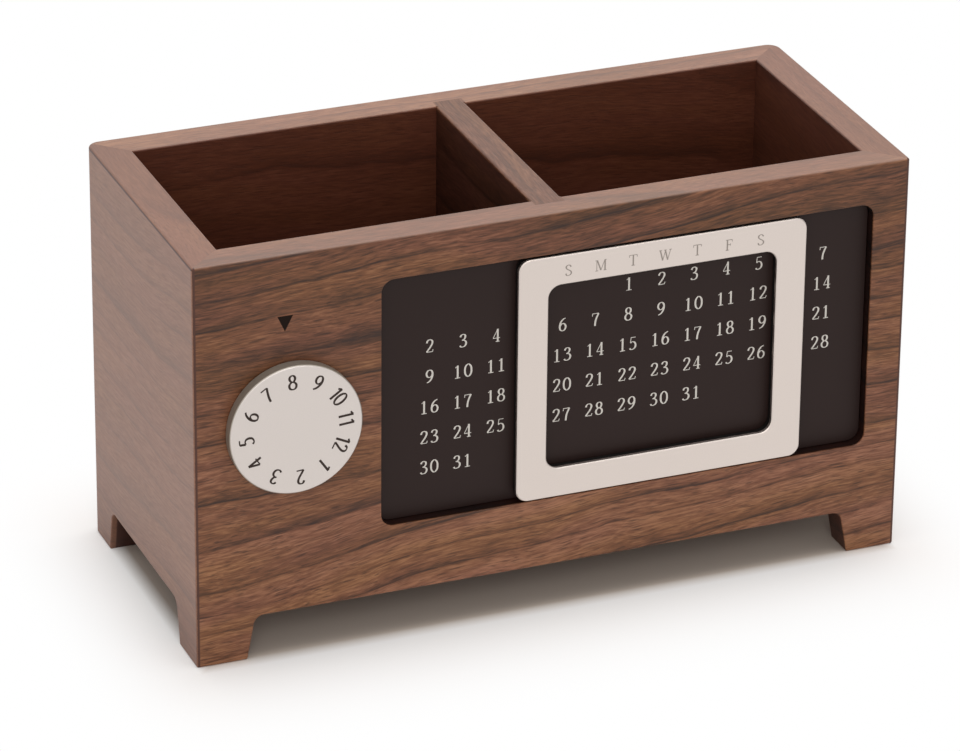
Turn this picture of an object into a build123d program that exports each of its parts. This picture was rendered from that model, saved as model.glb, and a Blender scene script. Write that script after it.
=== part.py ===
from build123d import *
import os

# Walnut desk organiser: an open box on bracket feet, split into two compartments,
# with a sliding calendar frame and a turning month dial in its front.
# Millimetres. +X is right and +Z is up, the front faces -Y, and the origin is under
# the middle of the whole object, on the surface that it stands on.

os.makedirs("parts", exist_ok=True)

# ---- case ----
case_length = 170.0
case_depth = 73.0
case_height = 97.0
side_wall = 8.5
front_wall = 8.0  # front and back boards
divider_thickness = 7.0
housing_depth = 2.5  # how far the divider is let into the front and back boards
floor_thickness = 5.0
floor_lift = 12.5  # underside of the floor, above the table
floor_tongue = 2.5  # how far the floor reaches into the walls
tongue_clearance = 0.2  # left free at the bottom of the floor's grooves
rim_ease = 0.5
front_corner_ease = 0.6
back_corner_radius = 3.0

# ---- bracket feet ----
foot_height = 10.5
foot_width = 11.8  # at the table
foot_flare = 2.0  # how much wider a foot is where it meets the board
foot_fillet = 2.5
foot_ease = 0.5  # outer edges at the table
arch_ease = 0.3

# ---- calendar recess and date plate ----
recess_length = 118.0
recess_height = 60.0
recess_end_margin = 8.5  # from the recess to the right end of the case
recess_top_margin = 9.9
recess_corner = 3.0
recess_ease = 0.25
plate_thickness = 1.0
plate_clearance = 0.2

# ---- date slider ----
slider_length = 69.4
slider_top_gap = 0.6
slider_bottom_gap = 0.2
bar_width = 7.1
slider_corner = 2.8
window_corner = 3.0
face_thickness = 1.0
face_ease = 0.2
carrier_thickness = 1.5
carrier_inset = 0.2
glide_clearance = 0.3
column_pitch = 7.9  # one day's column on the date plate
slider_column = 1  # columns right of the recess's middle, as the slider stands at rest
magnet_diameter = 5.0
magnet_thickness = 1.0
magnet_clearance = 0.05

# ---- month dial ----
dial_diameter = 30.8
dial_thickness = 2.7
dial_gap = 0.3  # between the dial and the front board
dial_edge = 0.3
dial_from_left = 22.6  # dial's axis to the left end of the case
dial_height = 56.2  # dial's axis above the table
spindle_diameter = 4.0
stub_diameter = 3.0
stub_length = 1.6
running_clearance = 0.03  # spindle in its bush, on the radius
fit_clearance = 0.01  # pressed and screwed fits, on the radius
bush_wall = 1.25
flange_diameter = 10.0
flange_thickness = 1.0
service_bore_diameter = 10.0
service_bore_depth = 3.0  # from the inner face of the front board
end_float = 0.15  # how far the spindle stands out of its bush
washer_diameter = 8.0
washer_thickness = 0.5
screw_diameter = 2.5
screw_length = 4.0
screw_head_diameter = 4.6
screw_head_height = 1.6
screw_head_round = 0.5
cross_width = 0.6
cross_length = 2.6
cross_depth = 0.8

# ---- places worked out from the sizes ----
dial_stand_out = dial_gap + dial_thickness
front_y = (dial_stand_out - case_depth) / 2  # the dial stands out in front of this
middle_y = front_y + case_depth / 2
inner_length = case_length - 2 * side_wall
inner_depth = case_depth - 2 * front_wall
floor_top = floor_lift + floor_thickness

recess_depth = plate_thickness + glide_clearance + carrier_thickness + face_thickness
recess_x = case_length / 2 - recess_end_margin - recess_length / 2
recess_z = case_height - recess_top_margin - recess_height / 2
slider_height = recess_height - slider_top_gap - slider_bottom_gap
slider_x = recess_x + slider_column * column_pitch
slider_z = recess_z + (slider_bottom_gap - slider_top_gap) / 2
window_length = slider_length - 2 * bar_width
window_height = slider_height - 2 * bar_width

dial_x = dial_from_left - case_length / 2
web_thickness = front_wall - service_bore_depth  # what is left for the bush
spindle_end = web_thickness + end_float


def front_plane(depth, x=0.0, z=0.0):
    """Upright plane that faces the front, at a depth behind the case's front face."""
    return Plane(origin=(x, front_y + depth, z), x_dir=(1, 0, 0), z_dir=(0, -1, 0))


# The dial's own half-section plane: its first axis runs into the case, its second is the radius.
dial_section = Plane(origin=(dial_x, front_y, dial_height), x_dir=(0, 1, 0), z_dir=(1, 0, 0))
dial_axis = Axis((dial_x, front_y, dial_height), (0, 1, 0))


def wall_plan(along_x, side):
    """One wall seen from above, mitred from the case's outer corners to its inner ones."""
    with BuildSketch() as plan:
        with Locations((0, middle_y)):
            Rectangle(case_length, case_depth)
        fillet(plan.vertices().group_by(Axis.Y)[-1], back_corner_radius)
        fillet(plan.vertices().group_by(Axis.Y)[0], front_corner_ease)
        if along_x:
            outer = [(x, middle_y + side * case_depth / 2) for x in (-case_length / 2, case_length / 2)]
            inner = [(x, middle_y + side * inner_depth / 2) for x in (inner_length / 2, -inner_length / 2)]
        else:
            outer = [(side * case_length / 2, middle_y + y) for y in (-case_depth / 2, case_depth / 2)]
            inner = [(side * inner_length / 2, middle_y + y) for y in (inner_depth / 2, -inner_depth / 2)]
        with BuildLine():
            Polyline(*outer, *inner, close=True)
        make_face(mode=Mode.INTERSECT)
    return plan.sketch


def foot_arch(plane, span):
    """The open space between a wall's two feet: straight, flared legs with rounded tops."""
    half_floor = span / 2 - foot_width
    half_top = half_floor - foot_flare
    with BuildSketch(plane) as opening:
        with BuildLine():
            FilletPolyline(
                (-half_floor, 0),
                (-half_top, foot_height),
                (half_top, foot_height),
                (half_floor, 0),
                radius=foot_fillet,
            )
            Line((half_floor, 0), (-half_floor, 0))
        make_face()
    return opening.sketch


def arch_top(face):
    """The straight line over the arch, on one of the case's outer faces."""
    straight = face.edges().filter_by(GeomType.LINE)
    return straight.filter_by(lambda edge: abs(edge.center().Z - foot_height) < rim_ease)


def rounded_panel(plane, length, height, corner):
    """A rectangle with rounded corners, centred on its plane."""
    with BuildSketch(plane) as outline:
        RectangleRounded(length, height, corner)
    return outline.sketch


def half_section(points):
    """A closed half-section of a part that is turned round the dial's axis."""
    with BuildSketch(dial_section) as section:
        with BuildLine():
            Polyline(*points, close=True)
        make_face()
    return section.sketch


def finish(part, name):
    """Name a finished piece and write it."""
    part.label = name
    export_step(part, f"parts/{name}.step")


# ---- case ----
# The floor goes into grooves in all four walls, and the divider stands on it.
with BuildPart() as floor_panel:
    with Locations((0, middle_y, floor_lift + floor_thickness / 2)):
        Box(
            inner_length + 2 * (floor_tongue - tongue_clearance),
            inner_depth + 2 * (floor_tongue - tongue_clearance),
            floor_thickness,
        )
finish(floor_panel.part, "floor_panel")

# Only the stretch between the boards is eased, so its housed ends fill their housings.
divider_height = case_height - floor_top
housed_y = (inner_depth + housing_depth) / 2

with BuildPart() as divider_panel:
    with Locations((0, middle_y, floor_top + divider_height / 2)):
        Box(divider_thickness, inner_depth, divider_height)
    fillet(divider_panel.edges().filter_by(Axis.Y).group_by(Axis.Z)[-1], rim_ease)
    with Locations(Location((0, middle_y, floor_top + divider_height / 2))):
        with Locations((0, -housed_y, 0), (0, housed_y, 0)):
            Box(divider_thickness, housing_depth, divider_height)
finish(divider_panel.part, "divider_panel")

# The space that the floor's tongues need, cut out of every wall.
with BuildPart() as floor_groove:
    with Locations((0, middle_y, floor_lift + floor_thickness / 2)):
        Box(inner_length + 2 * floor_tongue, inner_depth + 2 * floor_tongue, floor_thickness)

with BuildPart() as front_panel:
    extrude(wall_plan(True, -1), amount=case_height)
    fillet(front_panel.edges().filter_by(Axis.X).group_by(Axis.Z)[-1], rim_ease)
    fillet(front_panel.edges().filter_by(Axis.X).group_by(Axis.Z)[0].sort_by(Axis.Y)[0], foot_ease)
    extrude(foot_arch(front_plane(0), case_length), amount=-front_wall, mode=Mode.SUBTRACT)
    fillet(arch_top(front_panel.faces().sort_by(Axis.Y)[0]), arch_ease)
    add(floor_groove.part, mode=Mode.SUBTRACT)
    add(divider_panel.part, mode=Mode.SUBTRACT)
    # the calendar's recess, with its front edge just eased
    recess_mouth = front_plane(0, recess_x, recess_z)
    extrude(
        rounded_panel(recess_mouth, recess_length, recess_height, recess_corner),
        amount=-recess_depth,
        mode=Mode.SUBTRACT,
    )
    front_face = front_panel.faces().filter_by(Axis.Y).sort_by(Axis.Y)[0]
    fillet(front_face.inner_wires()[0].edges(), recess_ease)
    # the dial's bush goes in from the front, and its screw is reached from inside
    with Locations(front_plane(0, dial_x, dial_height)):
        CounterBoreHole(
            radius=spindle_diameter / 2 + running_clearance + bush_wall + fit_clearance,
            counter_bore_radius=flange_diameter / 2 + fit_clearance,
            counter_bore_depth=flange_thickness,
            depth=front_wall,
        )
    with BuildSketch(front_plane(front_wall, dial_x, dial_height)):
        Circle(service_bore_diameter / 2)
    extrude(amount=service_bore_depth, mode=Mode.SUBTRACT)
finish(front_panel.part, "front_panel")

with BuildPart() as back_panel:
    extrude(wall_plan(True, 1), amount=case_height)
    fillet(back_panel.edges().filter_by(Axis.X).group_by(Axis.Z)[-1], rim_ease)
    fillet(back_panel.edges().filter_by(Axis.X).group_by(Axis.Z)[0].sort_by(Axis.Y)[-1], foot_ease)
    extrude(foot_arch(front_plane(case_depth), case_length), amount=front_wall, mode=Mode.SUBTRACT)
    fillet(arch_top(back_panel.faces().sort_by(Axis.Y)[-1]), arch_ease)
    add(floor_groove.part, mode=Mode.SUBTRACT)
    add(divider_panel.part, mode=Mode.SUBTRACT)
finish(back_panel.part, "back_panel")

for name, side in (("left_side_panel", -1), ("right_side_panel", 1)):
    with BuildPart() as side_panel:
        extrude(wall_plan(False, side), amount=case_height)
        fillet(side_panel.edges().filter_by(Axis.Y).group_by(Axis.Z)[-1], rim_ease)
        bottom_edges = side_panel.edges().filter_by(Axis.Y).group_by(Axis.Z)[0]
        fillet(bottom_edges.sort_by(lambda edge: side * edge.center().X)[-1], foot_ease)
        outer_plane = Plane(origin=(side * case_length / 2, middle_y, 0), x_dir=(0, 1, 0), z_dir=(1, 0, 0))
        extrude(foot_arch(outer_plane, case_depth), amount=-side * side_wall, mode=Mode.SUBTRACT)
        fillet(arch_top(side_panel.faces().sort_by(lambda face: side * face.center().X)[-1]), arch_ease)
        add(floor_groove.part, mode=Mode.SUBTRACT)
    finish(side_panel.part, name)

# ---- calendar ----
with BuildPart() as date_plate:
    plate_outline = rounded_panel(
        front_plane(recess_depth, recess_x, recess_z),
        recess_length - 2 * plate_clearance,
        recess_height - 2 * plate_clearance,
        recess_corner - plate_clearance,
    )
    extrude(plate_outline, amount=plate_thickness)
finish(date_plate.part, "date_plate")

# The frame's face lies flush with the front board, over a carrier with the magnets.
with BuildPart() as slider_frame:
    face_plane = front_plane(0, slider_x, slider_z)
    extrude(rounded_panel(face_plane, slider_length, slider_height, slider_corner), amount=-face_thickness)
    extrude(
        rounded_panel(face_plane, window_length, window_height, window_corner),
        amount=-face_thickness,
        mode=Mode.SUBTRACT,
    )
    chamfer(slider_frame.faces().sort_by(Axis.Y)[0].edges(), face_ease)
finish(slider_frame.part, "slider_frame")

magnet_places = GridLocations(slider_length - bar_width, slider_height - bar_width, 2, 2)
carrier_back = face_thickness + carrier_thickness

with BuildPart() as slider_carrier:
    carrier_plane = front_plane(face_thickness, slider_x, slider_z)
    extrude(
        rounded_panel(
            carrier_plane,
            slider_length - 2 * carrier_inset,
            slider_height - 2 * carrier_inset,
            slider_corner - carrier_inset,
        ),
        amount=-carrier_thickness,
    )
    extrude(
        rounded_panel(
            carrier_plane,
            window_length + 2 * carrier_inset,
            window_height + 2 * carrier_inset,
            window_corner + carrier_inset,
        ),
        amount=-carrier_thickness,
        mode=Mode.SUBTRACT,
    )
    with BuildSketch(front_plane(carrier_back, slider_x, slider_z)):
        with magnet_places:
            Circle(magnet_diameter / 2 + magnet_clearance)
    extrude(amount=magnet_thickness, mode=Mode.SUBTRACT)
finish(slider_carrier.part, "slider_carrier")

with BuildPart() as slider_magnets:
    with BuildSketch(front_plane(carrier_back, slider_x, slider_z)):
        with magnet_places:
            Circle(magnet_diameter / 2)
    extrude(amount=magnet_thickness)
finish(slider_magnets.part, "slider_magnets")

# ---- month dial ----
# Half-sections run from the front (negative, in front of the case) into the board.
stub_radius = stub_diameter / 2
spindle_radius = spindle_diameter / 2
bush_bore_radius = spindle_radius + running_clearance
bush_radius = bush_bore_radius + bush_wall
dial_radius = dial_diameter / 2
screw_radius = screw_diameter / 2

with BuildPart() as month_dial:
    revolve(
        half_section(
            [
                (-dial_stand_out, 0),
                (-dial_stand_out, dial_radius - dial_edge),
                (-dial_stand_out + dial_edge, dial_radius),
                (-dial_gap, dial_radius),
                (-dial_gap, stub_radius + fit_clearance),
                (-dial_gap - stub_length, stub_radius + fit_clearance),
                (-dial_gap - stub_length, 0),
            ]
        ),
        axis=dial_axis,
    )
finish(month_dial.part, "month_dial")

with BuildPart() as dial_bushing:
    revolve(
        half_section(
            [
                (0, bush_bore_radius),
                (0, flange_diameter / 2),
                (flange_thickness, flange_diameter / 2),
                (flange_thickness, bush_radius),
                (web_thickness, bush_radius),
                (web_thickness, bush_bore_radius),
            ]
        ),
        axis=dial_axis,
    )
finish(dial_bushing.part, "dial_bushing")

screw_tip = spindle_end + washer_thickness - screw_length

with BuildPart() as dial_spindle:
    revolve(
        half_section(
            [
                (-dial_gap - stub_length, 0),
                (-dial_gap - stub_length, stub_radius),
                (-dial_gap, stub_radius),
                (-dial_gap, spindle_radius),
                (spindle_end, spindle_radius),
                (spindle_end, screw_radius + fit_clearance),
                (screw_tip, screw_radius + fit_clearance),
                (screw_tip, 0),
            ]
        ),
        axis=dial_axis,
    )
finish(dial_spindle.part, "dial_spindle")

head_seat = spindle_end + washer_thickness
head_top = head_seat + screw_head_height

with BuildPart() as dial_washer:
    revolve(
        half_section(
            [
                (spindle_end, screw_radius + fit_clearance),
                (spindle_end, washer_diameter / 2),
                (head_seat, washer_diameter / 2),
                (head_seat, screw_radius + fit_clearance),
            ]
        ),
        axis=dial_axis,
    )
finish(dial_washer.part, "dial_washer")

with BuildPart() as dial_screw:
    revolve(
        half_section(
            [
                (screw_tip, 0),
                (screw_tip, screw_radius),
                (head_seat, screw_radius),
                (head_seat, screw_head_diameter / 2),
                (head_top, screw_head_diameter / 2),
                (head_top, 0),
            ]
        ),
        axis=dial_axis,
    )
    fillet(dial_screw.faces().sort_by(Axis.Y)[-1].edges(), screw_head_round)
    with BuildSketch(front_plane(head_top, dial_x, dial_height)):
        Rectangle(cross_length, cross_width)
        Rectangle(cross_width, cross_length)
    extrude(amount=cross_depth, mode=Mode.SUBTRACT)
finish(dial_screw.part, "dial_screw")
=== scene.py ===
import bpy
import bmesh
from math import cos, sin, pi, radians
from mathutils import Matrix, Vector


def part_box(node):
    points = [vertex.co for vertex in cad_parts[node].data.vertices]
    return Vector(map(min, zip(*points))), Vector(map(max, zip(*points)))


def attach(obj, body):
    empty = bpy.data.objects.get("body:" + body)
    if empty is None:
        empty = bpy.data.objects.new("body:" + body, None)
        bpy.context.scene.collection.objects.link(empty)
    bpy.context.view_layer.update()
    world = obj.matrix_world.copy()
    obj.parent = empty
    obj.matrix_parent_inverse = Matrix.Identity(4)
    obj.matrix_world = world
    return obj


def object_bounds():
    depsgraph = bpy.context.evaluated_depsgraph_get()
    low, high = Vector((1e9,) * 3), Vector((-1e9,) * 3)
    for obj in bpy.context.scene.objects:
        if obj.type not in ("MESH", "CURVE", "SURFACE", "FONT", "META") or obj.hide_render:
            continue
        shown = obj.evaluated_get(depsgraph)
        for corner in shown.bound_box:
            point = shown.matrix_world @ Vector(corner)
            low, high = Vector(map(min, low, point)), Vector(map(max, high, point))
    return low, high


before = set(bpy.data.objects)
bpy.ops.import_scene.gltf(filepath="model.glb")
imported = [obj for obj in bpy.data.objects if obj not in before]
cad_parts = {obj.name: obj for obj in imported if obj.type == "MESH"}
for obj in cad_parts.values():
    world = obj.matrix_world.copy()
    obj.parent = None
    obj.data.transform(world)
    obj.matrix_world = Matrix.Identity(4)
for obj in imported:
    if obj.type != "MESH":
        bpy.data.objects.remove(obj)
cadBox = [list(corner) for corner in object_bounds()]
print("frame loaded:", len(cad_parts), "nodes")

mm = 0.001


def linearColor(hexValue):  # "#rrggbb" as it looks on screen, to the linear colour a shader takes
    channels = [int(hexValue[i:i + 2], 16) / 255 for i in (1, 3, 5)]
    return [c / 12.92 if c <= 0.04045 else ((c + 0.055) / 1.055) ** 2.4 for c in channels] + [1.0]


def addNode(tree, kind, inputs=None, **settings):  # one node, its settings, and what goes into its sockets
    node = tree.nodes.new(kind)
    for key, value in settings.items():
        setattr(node, key, value)
    for key, value in (inputs or {}).items():
        socket = node.inputs[key]
        if isinstance(value, bpy.types.Node):
            value = next(out for out in value.outputs if out.enabled)
        if isinstance(value, bpy.types.NodeSocket):
            tree.links.new(value, socket)
        elif isinstance(value, str) and value.startswith("#"):
            socket.default_value = linearColor(value)
        else:
            socket.default_value = value
    return node


def setRamp(node, stops):  # colour stops as (position, "#rrggbb" or grey value)
    ramp = node.color_ramp
    while len(ramp.elements) < len(stops):
        ramp.elements.new(0.5)
    for element, (position, value) in zip(ramp.elements, stops):
        element.position = position
        element.color = linearColor(value) if isinstance(value, str) else (value, value, value, 1)
    return node


def newMaterial(name):
    material = bpy.data.materials.new(name)
    material.use_nodes = True
    material.node_tree.nodes.clear()
    return material, material.node_tree


def dress(nodeName, material):  # a CAD node keeps its mesh and takes a new finish
    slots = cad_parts[nodeName].material_slots
    if not slots:
        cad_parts[nodeName].data.materials.append(material)
    for slot in slots:
        slot.material = material


# the camera takes the photograph's view; its pixel values are for an image of 960 x 751
view = {
    "azimuth": -22.145,
    "elevation": 25.319,
    "roll": 0.645,
    "distance": 1253.5,
    "target": (0, 1.5, 48.5),
    "focalPixels": 5500.2,
    "shiftPixels": (-15.05, -29.46),
}
imageWidth = 960
sensorWidth = 36

azimuth, elevation = radians(view["azimuth"]), radians(view["elevation"])
backward = Vector((sin(azimuth) * cos(elevation), -cos(azimuth) * cos(elevation), sin(elevation)))
rightward = Vector((cos(azimuth), sin(azimuth), 0))
upward = backward.cross(rightward)
cameraData = bpy.data.cameras.new("camera")
cameraData.sensor_width = sensorWidth
cameraData.lens = view["focalPixels"] * sensorWidth / imageWidth
cameraData.shift_x, cameraData.shift_y = (pixels / imageWidth for pixels in view["shiftPixels"])
camera = bpy.data.objects.new("camera", cameraData)
bpy.context.scene.collection.objects.link(camera)
turn = Matrix.Rotation(radians(view["roll"]), 4, "Z")
place = Matrix((rightward, upward, backward)).transposed().to_4x4()
place.translation = (Vector(view["target"]) + backward * view["distance"]) * mm
camera.matrix_world = place @ turn
bpy.context.scene.camera = camera

# Oiled black walnut, planed and sanded: a satin sheen on warm brown, growth rings that show as thin dark lines, and
# open pores that show as short dark dashes along the grain, drawn about twice as wide as real ones so that they can be
# seen. Sizes are in mm, and a streaky pattern's size is its length along the grain and its width across it.
walnut = {
    "goldBrown": "#9c6d4f",
    "midBrown": "#754a32",
    "deepBrown": "#523320",
    "duskBrown": "#37231a",
    "poreBrown": "#2a170e",
    "goldenDrift": "#fffeec",  # slow drifts in hue, multiplied in
    "rosyDrift": "#fcf6ff",
    "driftSize": (45, 8),
    "driftEdges": (0.35, 0.65),  # between which values of its noise a pattern shows
    "paintedRimHighlight": "#9a7c6e",  # painted highlight: the rim paler and pinker than the faces, for the sheen it catches
    "paintedSideGlare": "#956e5c",  # painted glare: the sides paler and pinker, for the sheen they show at a slant
    "insideShadeTint": "#c5aaad",  # painted shade: the compartments darker and redder, multiplied in
    "cutTint": "#8b7373",  # painted shade: the arches darker still, and the recess most
    "recessShadeTint": "#948a8a",
    "edgeLineAndShade": "#4c2c21",  # a thin dark line along an edge, and a softer painted shade on the rounded back corners
    "cornerShadeShare": 0.55,
    "bend": (80, 55),  # slow waves, then small ones, and how far each pushes the grain off its straight run
    "bendPush": 11,
    "ripple": (12, 6),
    "ripplePush": 1.1,
    "ringSpacing": 7.0,
    "ringDrift": 23,  # over how much of the log's radius the rings crowd and spread, and by how many rings
    "ringCrowd": 3.0,
    "ringFade": (30, 7),
    "ringLine": 0.76,  # how much the rings, the patches and the fibres darken the wood
    "patchSize": (55, 7),
    "patch": 0.5,
    "fibreSize": (5.0, 0.5),
    "fibre": 1.05,
    "poreSize": (4.5, 0.3),
    "poreEdges": (0.55, 0.72),
    "poreShare": 0.6,
    "poreDepth": 0.04,
    "fibreDepth": 0.35,  # as a part of a pore's
    "bump": 0.4,
    "roughness": (0.38, 0.5),
}
# Each board: its grain axis and the two across it, how far its grain runs off line in degrees, where it lay in the log,
# its gloss, how dark it is at its foot and at its rim (the front's lighter foot is painted light thrown back by the
# floor), and how much painted highlight its rim takes. A board with an outer face gives the axis that it faces, where
# it is, which way is inward, how thick the board is and how deep its eased edge is, then how much painted glare it
# takes and where it has an edge line. Each tint is multiplied in; those inside, at the foot and below the rim are
# painted shade.
sideFinish = {
    "gloss": 0.5, "depth": (-0.4, -0.4), "rimHighlightShare": 0.05, "rimTint": "#dcd8d8", "insideShadeTint": "#b39a9d",
    "footShadeTint": "#dfd6d2", "pale": 0.6, "lineAt": "rim"}
boards = {
    "front_panel": {
        # the front is painted lighter towards its foot: painted light thrown back by the floor
        "axes": "xzy", "tilt": -4.5, "log": (-24, -150, 60), "gloss": 0.35, "depth": (-0.45, -0.22), "rimHighlightShare": 0.45,
        "face": ("y", -35.0, 1, 8.0, 0.3), "lineAt": "ends"},
    "back_panel": {
        "axes": "xzy", "tilt": 3.0, "log": (310, -110, 64), "gloss": 0.35, "depth": (-0.38, -0.38), "rimHighlightShare": 0.45,
        "face": ("y", 38.0, -1, 8.0, 1.2)},
    "left_side_panel": {
        "axes": "yzx", "tilt": 4.0, "log": (520, -140, 70), "face": ("x", -85.0, 1, 8.5, 1.2), **sideFinish},
    "right_side_panel": {
        "axes": "yzx", "tilt": -3.0, "log": (700, -120, 66), "face": ("x", 85.0, -1, 8.5, 1.2), **sideFinish},
    "divider_panel": {
        "axes": "yzx", "tilt": 2.0, "log": (900, -115, 58), "gloss": 0.35, "depth": (-0.4, -0.4), "rimHighlightShare": 0.3,
        "rimTint": "#cfcdce", "belowShadeTint": "#817072"},
    "floor_panel": {
        "axes": "xyz", "tilt": 2.0, "log": (1100, -100, 60), "gloss": 0.35, "depth": (-0.4, -0.4), "rimHighlightShare": 0.0,
        "belowShadeTint": "#c5aaad"},
}
rimHeight = 97.0
cornerX = 85.0
backY = 38.0
softEdge = 0.3  # over how far one finish turns to the next


def walnutMaterial(boardName, board):
    material, tree = newMaterial("oiledWalnut_" + boardName)

    def streaks(field, size, detail, rough=0.5):  # a noise drawn out along the grain
        lengthwise, crosswise = size
        drawnOut = addNode(tree, "ShaderNodeVectorMath", {
            0: field, 1: (1 / lengthwise, 1 / crosswise, 1 / crosswise)}, operation="MULTIPLY")
        return addNode(tree, "ShaderNodeTexNoise", {
            "Vector": drawnOut, "Scale": 1, "Detail": detail, "Roughness": rough})

    def pushed(field, noise, amount):  # the field moved across the grain by a noise's colour
        middle = addNode(tree, "ShaderNodeVectorMath", {
            0: noise.outputs["Color"], 1: (0.5, 0.5, 0.5)}, operation="SUBTRACT")
        return addNode(tree, "ShaderNodeVectorMath", {
            0: middle, 1: (0, amount, amount), 2: field}, operation="MULTIPLY_ADD")

    place = addNode(tree, "ShaderNodeTexCoord").outputs["Object"]
    parts = addNode(tree, "ShaderNodeSeparateXYZ", {0: place}).outputs
    lying = addNode(tree, "ShaderNodeCombineXYZ", {i: parts["xyz".index(axis)] for i, axis in enumerate(board["axes"])})
    inLog = addNode(tree, "ShaderNodeMapping", {
        "Vector": lying, "Location": board["log"], "Rotation": (0, 0, radians(board["tilt"])),
        "Scale": (1 / mm, 1 / mm, 1 / mm)})
    waved = pushed(inLog, streaks(inLog, walnut["bend"], 1), walnut["bendPush"])
    grain = pushed(waved, streaks(waved, walnut["ripple"], 1), walnut["ripplePush"])

    # growth rings round the log's axis: each a thin dark line that fades towards the pith, and fades in and out
    flat = addNode(tree, "ShaderNodeVectorMath", {0: grain, 1: (0, 1, 1)}, operation="MULTIPLY")
    radius = addNode(tree, "ShaderNodeVectorMath", {0: flat}, operation="LENGTH").outputs["Value"]
    years = addNode(tree, "ShaderNodeMath", {0: radius, 1: 1 / walnut["ringDrift"]}, operation="MULTIPLY")
    uneven = addNode(tree, "ShaderNodeTexNoise", {"W": years, "Scale": 1, "Detail": 1}, noise_dimensions="1D")
    uneven = addNode(tree, "ShaderNodeMath", {0: uneven.outputs["Fac"], 1: walnut["ringCrowd"]}, operation="MULTIPLY")
    ringCount = addNode(tree, "ShaderNodeMath", {
        0: radius, 1: 1 / walnut["ringSpacing"], 2: uneven}, operation="MULTIPLY_ADD")
    ringPhase = addNode(tree, "ShaderNodeMath", {0: ringCount}, operation="FRACT")
    ring = setRamp(addNode(tree, "ShaderNodeValToRGB", {0: ringPhase}), [
        (0, 0.5), (0.06, 0.0), (0.7, 0.1), (0.93, 0.5), (0.975, 1.0)])
    fadeOut = streaks(grain, walnut["ringFade"], 0).outputs["Fac"]
    ringDepth = addNode(tree, "ShaderNodeMath", {0: ring.outputs["Color"], 1: fadeOut}, operation="MULTIPLY")

    # broad light and dark patches, fine fibres and pores
    patch = streaks(grain, walnut["patchSize"], 2).outputs["Fac"]
    fibre = streaks(grain, walnut["fibreSize"], 3, 0.6).outputs["Fac"]
    dashes = streaks(grain, walnut["poreSize"], 1).outputs["Fac"]
    pore = addNode(tree, "ShaderNodeMapRange", {
        "Value": dashes, "From Min": walnut["poreEdges"][0], "From Max": walnut["poreEdges"][1]}).outputs["Result"]

    # one number runs from golden to dusky brown, and a slow noise drifts the hue
    # it starts from the board's level, which on the front is painted lighter towards the foot
    depth = addNode(tree, "ShaderNodeMapRange", {
        "Value": parts[2], "From Max": rimHeight * mm, "To Min": board["depth"][0], "To Max": board["depth"][1]})
    depth = depth.outputs["Result"]
    for pattern, amount in ((ringDepth, "ringLine"), (patch, "patch"), (fibre, "fibre")):
        depth = addNode(tree, "ShaderNodeMath", {0: pattern, 1: walnut[amount], 2: depth}, operation="MULTIPLY_ADD")
    brown = setRamp(addNode(tree, "ShaderNodeValToRGB", {0: depth}), [
        (0.15, walnut["goldBrown"]), (0.48, walnut["midBrown"]), (0.75, walnut["deepBrown"]), (1, walnut["duskBrown"])])
    drift = addNode(tree, "ShaderNodeMapRange", {
        "Value": streaks(grain, walnut["driftSize"], 1).outputs["Fac"],
        "From Min": walnut["driftEdges"][0], "From Max": walnut["driftEdges"][1]})
    hue = addNode(tree, "ShaderNodeMix", {
        "Factor": drift.outputs["Result"], 6: walnut["goldenDrift"], 7: walnut["rosyDrift"]}, data_type="RGBA")
    color = addNode(tree, "ShaderNodeMix", {
        "Factor": 1.0, 6: brown.outputs["Color"], 7: hue.outputs[2]}, data_type="RGBA", blend_type="MULTIPLY")
    color = color.outputs[2]

    # where each finish lies: what is measured, from where it is 0 to where it is 1, in mm
    height = parts[2]
    outwards = addNode(tree, "ShaderNodeMath", {0: parts[0]}, operation="ABSOLUTE").outputs[0]
    spans = {"rim": (height, rimHeight - 0.45, rimHeight - 0.1)}
    # what lies over the bare wood: where, how strong, how it is mixed in, and its colour
    layers = [
        (["pore"], walnut["poreShare"], "MIX", walnut["poreBrown"]),
        # painted highlight on the rim; the rim tint then darkens the rim, on the sides taking back part of the painted
        # glare
        (["rim"], board["rimHighlightShare"], "MIX", walnut["paintedRimHighlight"]),
        (["rim"], 1.0, "MULTIPLY", board.get("rimTint", "#ffffff"))]
    if "face" in board:
        axis, outer, inward, thickness, eased = board["face"]
        inwards = parts["xyz".index(axis)]
        inner = outer + inward * thickness
        spans.update({
            "inside": (inwards, inner - inward * softEdge, inner),
            "notInside": (inwards, inner, inner - inward * softEdge),
            "outside": (inwards, outer + inward * 0.7, outer + inward * 0.4),
            "cut": (inwards, outer + inward * eased, outer + inward * (eased + softEdge)),
            "belowRim": (height, rimHeight - 6, rimHeight - 7),
            "belowEdge": (height, rimHeight - 0.6, rimHeight - 1.2),
            "aboveArch": (height, 24, 26),
            "foot": (height, 20, 4),
            "cornerAcross": (outwards, cornerX - 2.4, cornerX - 1.2),
            "cornerBack": (parts[1], backY - 2.4, backY - 1.2)})
        spans["lineStart"], spans["lineEnd"] = {
            "ends": ((outwards, cornerX - 0.85, cornerX - 0.6), (outwards, cornerX - 0.15, cornerX - 0.35)),
            "rim": ((height, rimHeight - 0.8, rimHeight - 0.55), (height, rimHeight - 0.15, rimHeight - 0.3)),
            "nowhere": ((height, 0, -1), (height, 0, -1)),
        }[board.get("lineAt", "nowhere")]
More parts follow.
